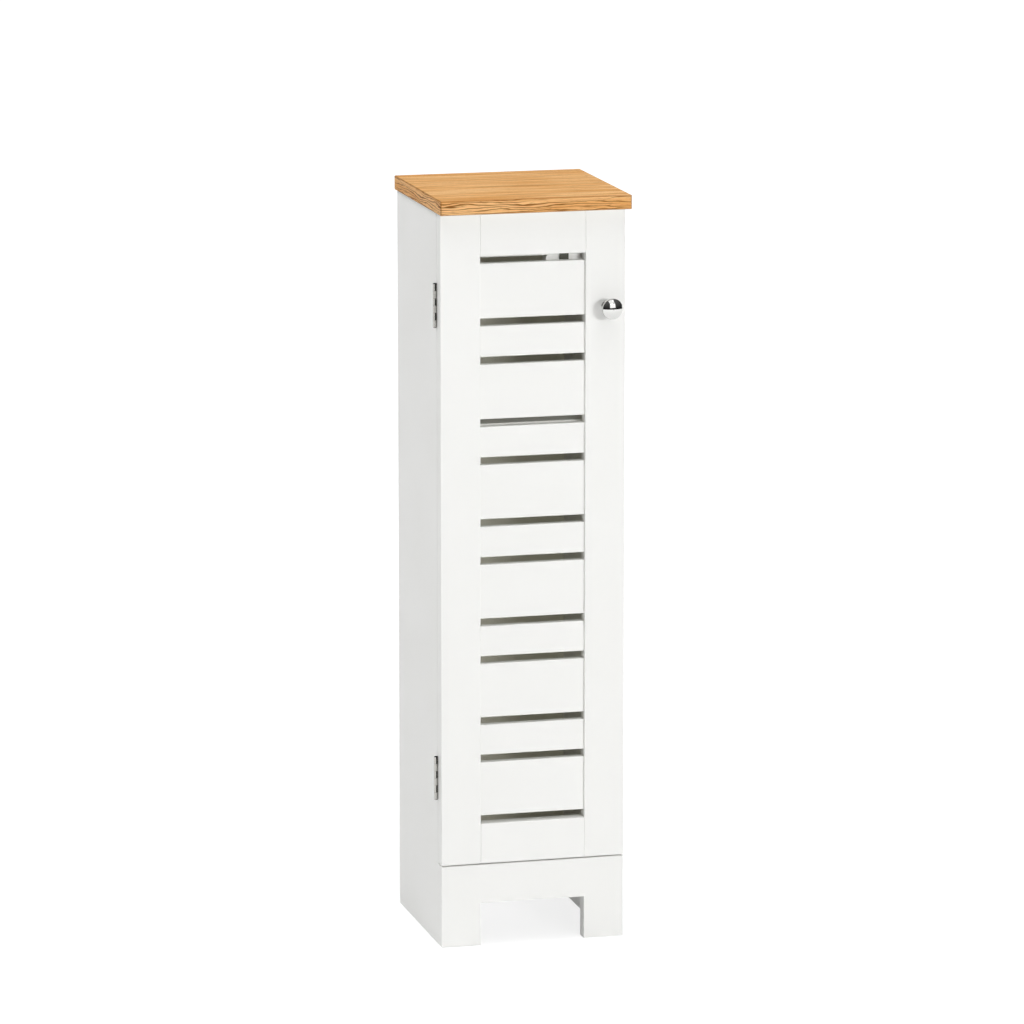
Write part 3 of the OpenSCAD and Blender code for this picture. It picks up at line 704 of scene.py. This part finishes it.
def brightness(label, lamp, default):
    """A setting that holds how bright a lamp is."""
    return number(label, "Brightness of the " + lamp, default, min=0.0)


class CabinetFinish(bpy.types.PropertyGroup):
    """Colours of the cabinet's surfaces"""

    white_paint: colour("White paint", "Paint of the boards and the door", "#F3F3F1")
    thin_paint: colour("Thin paint", "Paint where the coat is thinner", "#F1F1EE")
    oak_light: colour("Oak, light", "Pale streaks of the foil", "#F5C58A")
    oak_tan: colour("Oak, tan", "Darker streaks of the foil", "#DDA05C")
    # the line colour also darkens the bands along the top board's arrises
    oak_line: colour("Oak, lines", "Late wood, pores and folds", "#7E4C1E")
    backing_paper: colour("Backing paper", "Underside of the top board", "#EEE8DE")
    hardboard_light: colour("Hardboard, light", "Lighter fibres of the back", "#B08A62")
    hardboard_dark: colour("Hardboard, dark", "Darker fibres of the back", "#8A6644")
    beech_light: colour("Beech", "Body colour of the dowels", "#DDBB8E")
    beech_fleck: colour("Beech flecks", "Ray flecks of the dowels", "#BE9362")
    chrome: colour("Chrome", "Knob", "#D4D4D2")
    nickel: colour("Nickel", "Hinge leaves and their screws", "#B6B5B1")
    # painted shade: the pins are near-black for the shade in the hinge knuckles' mouths
    pin_shade_dark: colour("Pin shade dark", "Hinge pins", "#050505")
    phosphate: colour("Phosphate", "Strike plate of the catch", "#55554D")
    zinc_blue: colour("Zinc, blue", "Cooler clouds of the zinc plate", "#B4B9C0")
    zinc_straw: colour("Zinc, straw", "Warmer clouds of the zinc plate", "#C4C2B8")
    cast_zinc: colour("Cast zinc", "Cam locks", "#A8AAAC")
    back_face: colour("Back panel, face", "Lacquered inner face of the back", "#F6F4E6")
    white_abs: colour("White ABS", "Housing of the catch", "#F8F8F5")
    ferrite_dark: colour("Ferrite, dark", "Magnet", "#1F2022")
    ferrite_light: colour("Ferrite, light", "Grit on the magnet", "#3A3B3D")


class CabinetFittings(bpy.types.PropertyGroup):
    """Details of the small fittings, in millimetres"""

    screw_pitch: number(
        "Screw pitch (mm)", "Rise of the wood screws' thread in one turn", 1.1, min=0.5, max=2.5
    )
    screw_recess: number(
        "Recess across (mm)", "Size of the cross recess in the small screws", 2.5, min=1.0, max=3.2
    )
    knob_screw_pitch: number(
        "Knob screw pitch (mm)",
        "Rise of the knob screw's machine thread in one turn",
        0.7,
        min=0.5,
        max=1.5,
    )
    dowel_flutes: number(
        "Dowel flutes", "Number of pressed flutes round a dowel", 18, min=8, max=32
    )
    dowel_chamfer: number(
        "Dowel chamfer (mm)", "Chamfer at the ends of a dowel", 1.2, min=0.2, max=3.0
    )


class CabinetStage(bpy.types.PropertyGroup):
    """Camera, lights and floor"""

    camera_azimuth: number(
        "Camera azimuth",
        "Turn of the view to the left of the cabinet's front",
        0.2548,
        unit="ROTATION",
    )
    camera_pitch: number("Camera pitch", "How far the view looks down", 0.1961, unit="ROTATION")
    camera_distance: metres(
        "Camera distance", "Level distance from the camera to the middle of the cabinet", 5.8913
    )
    camera_height: metres("Camera height", "Height of the camera above the floor", 1.6095)
    camera_aside: metres(
        "Camera aside", "Offset of the camera to the right of the line to the cabinet", -0.0012
    )
    lens: number("Lens (mm)", "Focal length on a sensor 36 mm wide", 203.9, min=20.0)
    fill: brightness("Room light", "even light from all round", 0.2)
    overhead: brightness("Overhead bank", "long softbox above the camera", 1.2)
    key: brightness("Key light", "softbox at the front right", 60.0)
    strip: brightness("Strip light", "tall strip at the front right", 0.7)
    side: brightness("Side light", "high softbox at the left", 9.4)
    top: brightness("Top light", "softbox above the cabinet", 1.25)
    rear: brightness("Rear light", "low softbox behind the cabinet on the right", 1.5)
    inside: brightness(
        "Light inside", "light that bounces about between the white inner faces", 0.13
    )
    floor_white: number(
        "Floor whiteness",
        "Plain white in what the camera sees of the floor at the cabinet",
        0.78,
        min=0.0,
        max=1.0,
    )


# ---------- operators ----------


class CABINET_OT_paint_carcass(bpy.types.Operator):
    """Spray the side panels, floor panel, rail, plinth and shelf white"""

    bl_idname = "cabinet.paint_carcass"
    bl_label = "Painted carcass"

    def execute(self, context):
        boards = ["left_side_panel", "right_side_panel", "floor_panel", "front_rail"]
        dress([*boards, "plinth", "shelf"], finish_of(sprayed_satin_acrylic_paint))
        return {"FINISHED"}


class CABINET_OT_paint_door(bpy.types.Operator):
    """Spray the stiles, rails and slats of the louvred door white"""

    bl_idname = "cabinet.paint_door"
    bl_label = "Painted door"

    def execute(self, context):
        door = [name for name in nodes if name.startswith(("door_", "slat_"))]
        dress(door, finish_of(sprayed_satin_acrylic_paint))
        return {"FINISHED"}


class CABINET_OT_top_board(bpy.types.Operator):
    """Wrap the top board in oak-look foil"""

    bl_idname = "cabinet.top_board"
    bl_label = "Oak-look top board"

    def execute(self, context):
        dress(["top_board"], finish_of(printed_oak_foil))
        return {"FINISHED"}


class CABINET_OT_back_panel(bpy.types.Operator):
    """Face the back panel white inside and leave it brown outside"""

    bl_idname = "cabinet.back_panel"
    bl_label = "Hardboard back panel"

    def execute(self, context):
        dress(["back_panel"], finish_of(white_faced_hardboard))
        return {"FINISHED"}


class CABINET_OT_joinery(bpy.types.Operator):
    """Make the fluted dowels, the cam bolts and the cam locks"""

    bl_idname = "cabinet.joinery"
    bl_label = "Dowels and cam fittings"

    def execute(self, context):
        fittings = context.scene.cabinet_fittings
        sizes = station_sizes(dowel_stations(fittings.dowel_chamfer))
        sizes["Flutes"] = fittings.dowel_flutes
        beech, plate = finish_of(turned_beech), finish_of(passivated_zinc_plate)
        make_fasteners("fluted_dowels", "carcass_dowels", dowel_tree(), inward, sizes, beech)
        make_fasteners("threaded_cam_bolts", "cam_bolts", cam_bolt_tree(), outward, {}, plate)
        dress(["cam_locks"], finish_of(die_cast_zinc))
        return {"FINISHED"}


class CABINET_OT_back_nails(bpy.types.Operator):
    """Drive the nails through the back panel"""

    bl_idname = "cabinet.back_nails"
    bl_label = "Back nails"

    def execute(self, context):
        plate = finish_of(passivated_zinc_plate)
        make_fasteners("domed_back_nails", "back_nails", nail_tree(), (0, -1, 0), {}, plate)
        return {"FINISHED"}


class CABINET_OT_shelf_pins(bpy.types.Operator):
    """Make the four pins that carry the shelf"""

    bl_idname = "cabinet.shelf_pins"
    bl_label = "Shelf pins"

    def execute(self, context):
        plate = finish_of(passivated_zinc_plate)
        make_fasteners("collared_shelf_pins", "shelf_pins", shelf_pin_tree(), outward, {}, plate)
        return {"FINISHED"}


class CABINET_OT_hinges(bpy.types.Operator):
    """Plate the hinge leaves, give the pins painted shade, near-black, and make their countersunk
    screws
    """

    bl_idname = "cabinet.hinges"
    bl_label = "Butt hinges"

    def execute(self, context):
        fittings = context.scene.cabinet_fittings
        plate = finish_of(bright_nickel_plate)
        dress([name for name in nodes if name.endswith("_leaf")], plate)
        # the pins are near-black as painted shade for the dark mouths of the knuckles
        dress([name for name in nodes if name.endswith("_hinge_pin")], finish_of(shade_dark_pin_steel))
        sizes = {"Thread pitch": fittings.screw_pitch, "Recess across": fittings.screw_recess}
        tree = screw_tree()
        make_fasteners("door_hinge_screws", "hinge_door_screws", tree, (0, -1, 0), sizes, plate)
        make_fasteners("panel_hinge_screws", "hinge_panel_screws", tree, (0, 1, 0), sizes, plate)
        return {"FINISHED"}


class CABINET_OT_knob(bpy.types.Operator):
    """Plate the knob and make the screw that holds it"""

    bl_idname = "cabinet.knob"
    bl_label = "Knob and its screw"

    def execute(self, context):
        dress(["knob"], finish_of(buffed_chromium_plate))
        low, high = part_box("knob_screw")
        length = (high.y - low.y) * MM_PER_M
        thread_start, tip = 2.55, 0.5
        cheese_head = {
            "Crown": (0.0, 2.6), "Head rim": (0.7, 3.8), "Head back": (2.2, 3.8),
            "Shank": (2.21, 1.65), "Tip start": (length - tip, 1.65), "Tip": (length, 1.4),
        }
        sizes = {
            "Thread start": thread_start, "Thread length": length - thread_start - tip,
            "Thread depth": 0.35, "Thread pitch": context.scene.cabinet_fittings.knob_screw_pitch,
            "Recess across": 4.0, "Recess width": 0.9, "Recess depth": 1.3,
        }
        sizes.update(station_sizes(cheese_head))
        plate = finish_of(passivated_zinc_plate)
        make_fasteners("machine_knob_screw", "knob_screw", screw_tree(), (0, -1, 0), sizes, plate)
        return {"FINISHED"}


class CABINET_OT_catch(bpy.types.Operator):
    """Finish the magnetic catch and its strike plate, and make their screws"""

    bl_idname = "cabinet.catch"
    bl_label = "Magnetic catch"

    def execute(self, context):
        plate, tree = finish_of(passivated_zinc_plate), screw_tree()
        dress(["catch_housing"], finish_of(moulded_white_abs))
        dress(["catch_magnet"], finish_of(sintered_ferrite))
        dress(["catch_pole_plates"], plate)
        dress(["strike_plate"], finish_of(phosphated_steel))
        fittings = context.scene.cabinet_fittings
        sizes = {"Thread pitch": fittings.screw_pitch, "Recess across": fittings.screw_recess}
        make_fasteners("cross_strike_screws", "strike_screws", tree, (0, -1, 0), sizes, plate)
        low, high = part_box("catch_screws")
        length = (high.z - low.z) * MM_PER_M
        thread_start, tip = 2.15, 2.0
        pan_head = {
            "Crown": (0.0, 2.0), "Head rim": (0.5, 2.8), "Head back": (1.6, 2.8),
            "Shank": (1.61, 0.9), "Tip start": (length - tip, 0.9), "Tip": (length, 0.1),
        }
        sizes.update(station_sizes(pan_head))
        sizes.update(
            {
                "Thread start": thread_start,
                "Thread length": length - thread_start - tip,
                "Recess depth": 0.9,
            }
        )
        make_fasteners("cross_catch_screws", "catch_screws", tree, (0, 0, 1), sizes, plate)
        return {"FINISHED"}


class CABINET_OT_stage(bpy.types.Operator):
    """Set up the floor, the studio lights and the camera"""

    bl_idname = "cabinet.stage"
    bl_label = "Stage"

    def execute(self, context):
        stage = context.scene.cabinet_stage
        lay_floor(stage)
        light_world(stage)
        darken_reflections()
        stand_window()
        hang_softbox("overhead_bank", (3, 2.6, 3.3), (1.9, 3.6), stage.overhead, level=True)
        hang_softbox("strip_softbox", (28, 2.5, 2.7), (0.45, 2.4), stage.strip)
        lamps = [
            hang_softbox("key_softbox", (14, 5.9, 1.6), (1.5, 0.5), stage.key),
            hang_softbox("side_softbox", (-92, 3.3, 5.4), (2.4, 2.4), stage.side),
            hang_softbox("top_softbox", (-11, 0.8, 3.4), (2.4, 2.4), stage.top, level=True),
            hang_softbox("rear_softbox", (130, 3.3, 1.3), (2.4, 2.2), stage.rear),
        ]
        # these light the cabinet and don't show in its metal
        for lamp in lamps:
            lamp.visible_glossy = False
        light_inside(stage)
        set_camera(stage)
        context.scene.view_settings.view_transform = "Standard"
        return {"FINISHED"}


# ---------- stage ----------

WHITE = linear("#FFFFFF")


def end_in_light(add, strength):
    """Ends a material in plain white light."""
    light = add("ShaderNodeEmission", {"Color": WHITE, "Strength": strength})
    add("ShaderNodeOutputMaterial", {"Surface": light})


def new_stage_mesh(name, points, faces, material):
    """A mesh that belongs to the stage."""
    mesh = bpy.data.meshes.new(name)
    mesh.from_pydata(points, [], faces)
    mesh.materials.append(material)
    item = new_object(name, mesh)
    return item


def seen_directly(add):
    """1 for rays from the camera, from a shiny surface or through a clear one, else 0."""
    path = add("ShaderNodeLightPath").outputs
    shiny = add(MATH, {0: path["Is Camera Ray"], 1: path["Is Glossy Ray"]}, operation="MAXIMUM")
    return add(MATH, {0: shiny, 1: path["Is Transmission Ray"]}, operation="MAXIMUM")


def lay_floor(stage):
    """A pale floor that the camera sees as white, with the cabinet's soft shadow kept."""
    material = bpy.data.materials.new("Matt white studio floor")
    add = adder_to(material)
    seen = seen_directly(add)
    # seen directly, the floor is mostly plain white, and wholly so away from the cabinet
    lit, viewed = linear("#E8E8E8"), linear("#9F9F9F")
    paint = add(MIX, {0: seen, 6: lit, 7: viewed}, data_type="RGBA")
    matt = add("ShaderNodeBsdfDiffuse", {"Color": paint})
    place = add(COORDINATES).outputs["Object"]
    away = add(VECTOR_MATH, {0: place}, operation="LENGTH")
    white = add(
        MAP_RANGE, {"Value": away, "From Min": 0.3, "From Max": 2.5, "To Min": stage.floor_white}
    )
    share = add(MATH, {0: seen, 1: white}, operation="MULTIPLY")
    plain = add("ShaderNodeEmission", {"Color": WHITE, "Strength": share})
    both = add("ShaderNodeAddShader", {0: matt, 1: plain})
    add("ShaderNodeOutputMaterial", {"Surface": both})
    half = 30.0
    points = [(-half, -half, 0), (half, -half, 0), (half, half, 0), (-half, half, 0)]
    new_stage_mesh("studio_floor", points, [(0, 1, 2, 3)], material)


def light_world(stage):
    """Even light from all round, and plain white where the surroundings are seen."""
    world = bpy.data.worlds.new("Studio")
    bpy.context.scene.world = world
    add = adder_to(world)
    room = add("ShaderNodeBackground", {"Color": WHITE, "Strength": stage.fill})
    white = add("ShaderNodeBackground", {"Color": WHITE})
    mixed = add("ShaderNodeMixShader", {0: seen_directly(add), 1: room, 2: white})
    add("ShaderNodeOutputWorld", {"Surface": mixed})


def show_to_metal_only(item):
    """Keeps a stage piece for reflections: no light from it, no shadow, and not in view."""
    item.visible_camera = item.visible_transmission = False
    item.visible_diffuse = item.visible_shadow = False


def darken_reflections():
    """The unlit part of the studio, from the end of the lit floor up, which only shiny surfaces
    mirror."""
    radius, rim, rings, sides = 9.0, math.radians(9), 8, 32
    lit_floor, just_above = 5.5, 0.003
    levels = [(lit_floor, just_above)]
    for ring in range(rings):
        rise = rim + ring / rings * (math.pi / 2 - rim)
        levels.append((radius * math.cos(rise), radius * math.sin(rise)))
    points = []
    for reach, height in levels:
        for side in range(sides):
            turn = side / sides * math.tau
            points.append((reach * math.cos(turn), reach * math.sin(turn), height))
    faces = []
    for ring in range(rings):
        for side in range(sides):
            following = (side + 1) % sides
            # the floor stays lit to the rear, where the side panels mirror it
            if ring == 0 and max(points[side][1], points[following][1]) > just_above:
                continue
            low, high = ring * sides, (ring + 1) * sides
            faces.append((low + side, low + following, high + following, high + side))
    faces.append(tuple(range(rings * sides, (rings + 1) * sides)))
    dark = bpy.data.materials.new("Unlit studio")
    add = adder_to(dark)
    place = add(COORDINATES).outputs["Object"]
    height = add(SEPARATE, {"Vector": place}).outputs["Z"]
    # darkest above the horizon, greyer overhead
    grey = add(MAP_RANGE, {"Value": height, "From Max": radius, "To Min": 0.01, "To Max": 0.16})
    end_in_light(add, grey)
    show_to_metal_only(new_stage_mesh("unlit_studio", points, faces, dark))


def stand_window():
    """The tall white window in front of the cabinet that its knob mirrors."""
    turn, reach, half_width = math.radians(9), 5.0, 1.9
    foot, head = 1.1, 4.2
    middle = Vector((math.sin(turn), -math.cos(turn), 0)) * reach
    aside = Vector((math.cos(turn), math.sin(turn), 0)) * half_width
    points = []
    for side, height in ((-1, foot), (1, foot), (1, head), (-1, head)):
        points.append(middle + aside * side + Vector((0, 0, height)))
    white = bpy.data.materials.new("Window")
    end_in_light(adder_to(white), 1.5)
    show_to_metal_only(new_stage_mesh("window", points, [(0, 1, 2, 3)], white))


def hang_softbox(name, place, size, brightness, level=False):
    """A rectangular lamp that faces the cabinet, or the floor if level.

    place is its turn to the right of the cabinet's front in degrees, its level distance from the
    cabinet's middle, and its height, in metres. A brightness of 1 looks plain white.
    """
    turn, reach, height = math.radians(place[0]), place[1], place[2]
    lamp = bpy.data.lights.new(name, "AREA")
    lamp.shape = "RECTANGLE"
    lamp.size, lamp.size_y = size
    lamp.energy = brightness * math.pi * size[0] * size[1]
    item = new_object(name, lamp)
    item.location = (reach * math.sin(turn), -reach * math.cos(turn), height)
    drop = 0 if level else math.atan2(reach, height - cad_box[1].z / 2)
    item.rotation_euler = (drop, 0, turn)
    item.visible_camera = False
    return item


def light_inside(stage):
    """A dim lamp in the doorway that faces the back, for light that bounces on between the inner
    faces for longer than it is followed, and yellows a little on its way."""
    low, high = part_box("back_panel")
    doorway = (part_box("shelf")[0].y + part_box("door_left_stile")[1].y) / 2
    share = 0.9
    size = (share * (high.x - low.x), share * (high.z - low.z))
    lamp = hang_softbox("inner_light", (0, 1, 0), size, stage.inside)
    lamp.location = (0, doorway, (low.z + high.z) / 2)
    lamp.rotation_euler = (-math.pi / 2, 0, 0)
    lamp.data.color = linear("#FFFDEB")[:3]
    lamp.visible_glossy = False


def set_camera(stage):
    """The camera at the photograph's angle, with no shift."""
    lens = bpy.data.cameras.new("Camera")
    lens.lens = stage.lens
    lens.sensor_width = 36.0
    lens.clip_end = 100.0
    camera = new_object("Camera", lens)
    turn, pitch = stage.camera_azimuth, stage.camera_pitch
    ahead = Vector((math.sin(turn), math.cos(turn), 0))
    right = Vector((math.cos(turn), -math.sin(turn), 0))
    camera.location = -ahead * stage.camera_distance + right * stage.camera_aside
    camera.location.z = stage.camera_height
    look = ahead * math.cos(pitch) - Vector((0, 0, math.sin(pitch)))
    camera.rotation_euler = look.to_track_quat("-Z", "Y").to_euler()
    bpy.context.scene.camera = camera


# ---------- panel and registration ----------


class CABINET_PT_panel(bpy.types.Panel):
    """Lists the cabinet's pieces and settings"""

    bl_idname = "CABINET_PT_panel"
    bl_label = "Louvred cabinet"
    bl_space_type = "VIEW_3D"
    bl_region_type = "UI"
    bl_category = "Cabinet"

    def draw(self, context):
        for operator in OPERATORS:
            self.layout.operator(operator.bl_idname)
        for name in ("cabinet_finish", "cabinet_fittings", "cabinet_stage"):
            group = getattr(context.scene, name)
            box = self.layout.box()
            for key in group.__annotations__:
                box.prop(group, key)


GROUPS = {
    "cabinet_finish": CabinetFinish,
    "cabinet_fittings": CabinetFittings,
    "cabinet_stage": CabinetStage,
}
OPERATORS = [
    CABINET_OT_paint_carcass, CABINET_OT_paint_door, CABINET_OT_top_board, CABINET_OT_back_panel,
    CABINET_OT_joinery, CABINET_OT_back_nails, CABINET_OT_shelf_pins, CABINET_OT_hinges,
    CABINET_OT_knob, CABINET_OT_catch, CABINET_OT_stage,
]


def register():
    for item in (*GROUPS.values(), *OPERATORS, CABINET_PT_panel):
        bpy.utils.register_class(item)
    for name, group in GROUPS.items():
        setattr(bpy.types.Scene, name, PointerProperty(type=group))


def unregister():
    for name in GROUPS:
        delattr(bpy.types.Scene, name)
    for item in (CABINET_PT_panel, *reversed(OPERATORS), *GROUPS.values()):
        bpy.utils.unregister_class(item)


def main():
    register()
    bpy.ops.cabinet.paint_carcass()
    bpy.ops.cabinet.paint_door()
    bpy.ops.cabinet.top_board()
    bpy.ops.cabinet.back_panel()
    bpy.ops.cabinet.joinery()
    bpy.ops.cabinet.back_nails()
    bpy.ops.cabinet.shelf_pins()
    bpy.ops.cabinet.hinges()
    bpy.ops.cabinet.knob()
    bpy.ops.cabinet.catch()
    bpy.ops.cabinet.stage()


if __name__ == "__main__":
    main()
